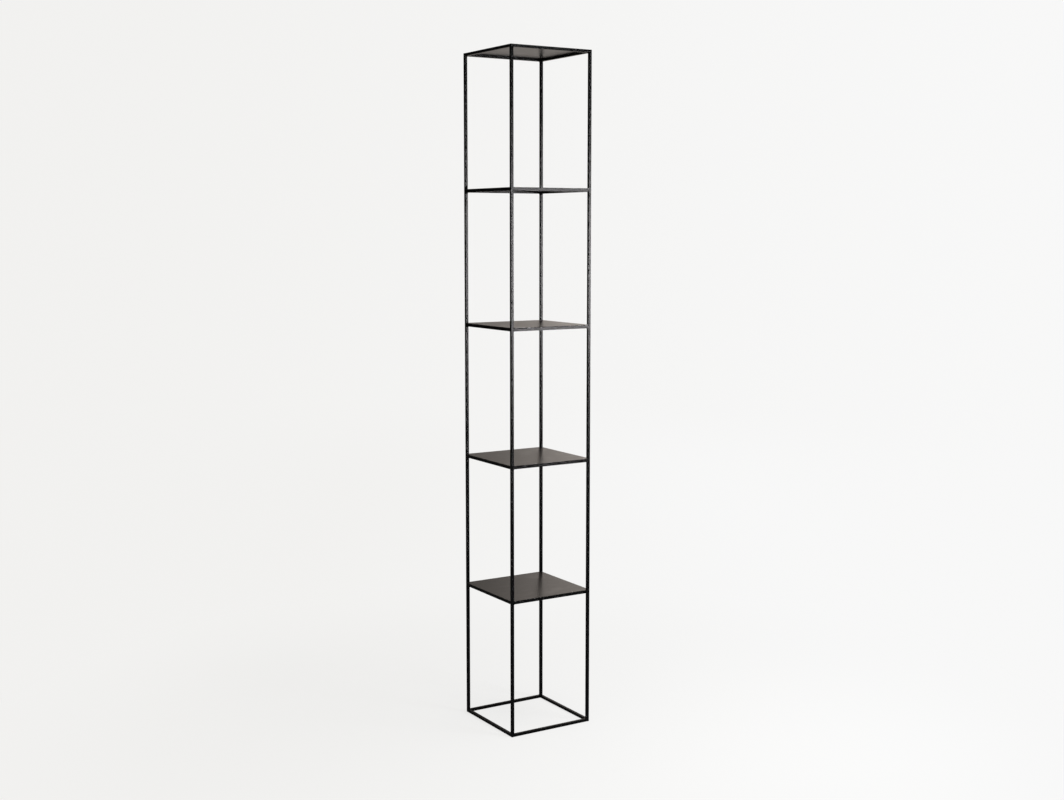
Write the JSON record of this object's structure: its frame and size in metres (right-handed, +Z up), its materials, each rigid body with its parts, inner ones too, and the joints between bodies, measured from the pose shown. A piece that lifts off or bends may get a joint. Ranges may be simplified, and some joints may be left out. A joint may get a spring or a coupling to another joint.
{
  "type": "shelving tower",
  "caption": "Tall slim square open shelf tower welded from thin square bar, with flat sheet shelves, an open base ring and a flush top.",
  "frame": {"origin": "centre of the square footprint, on the floor", "axes": "+X to the right along the front, +Y back, +Z up; the tower is a quarter-turn symmetric about Z"},
  "size_m": [0.26, 0.26, 1.908],
  "materials": {
    "frame_paint": "satin black paint on steel bar",
    "sheet_paint": "satin black-brown paint on sheet steel",
    "weld_paint": "satin black paint over weld beads"
  },
  "bodies": {
    "root": {"front_left_upright": "frame_paint", "front_right_upright": "frame_paint", "rear_left_upright": "frame_paint", "rear_right_upright": "frame_paint", "base_front_rail": "frame_paint", "base_rear_rail": "frame_paint", "base_left_rail": "frame_paint", "base_right_rail": "frame_paint", "shelf_1_front_rail": "frame_paint", "shelf_1_rear_rail": "frame_paint", "shelf_1_left_rail": "frame_paint", "shelf_1_right_rail": "frame_paint", "shelf_2_front_rail": "frame_paint", "shelf_2_rear_rail": "frame_paint", "shelf_2_left_rail": "frame_paint", "shelf_2_right_rail": "frame_paint", "shelf_3_front_rail": "frame_paint", "shelf_3_rear_rail": "frame_paint", "shelf_3_left_rail": "frame_paint", "shelf_3_right_rail": "frame_paint", "shelf_4_front_rail": "frame_paint", "shelf_4_rear_rail": "frame_paint", "shelf_4_left_rail": "frame_paint", "shelf_4_right_rail": "frame_paint", "top_front_rail": "frame_paint", "top_rear_rail": "frame_paint", "top_left_rail": "frame_paint", "top_right_rail": "frame_paint", "shelf_1_sheet": "sheet_paint", "shelf_2_sheet": "sheet_paint", "shelf_3_sheet": "sheet_paint", "shelf_4_sheet": "sheet_paint", "top_sheet": "sheet_paint", "base_corner_welds": "weld_paint", "shelf_1_corner_welds": "weld_paint", "shelf_2_corner_welds": "weld_paint", "shelf_3_corner_welds": "weld_paint", "shelf_4_corner_welds": "weld_paint", "top_corner_welds": "weld_paint", "shelf_1_stitch_welds": "weld_paint", "shelf_2_stitch_welds": "weld_paint", "shelf_3_stitch_welds": "weld_paint", "shelf_4_stitch_welds": "weld_paint", "top_stitch_welds": "weld_paint"}
  },
  "joints": []
}
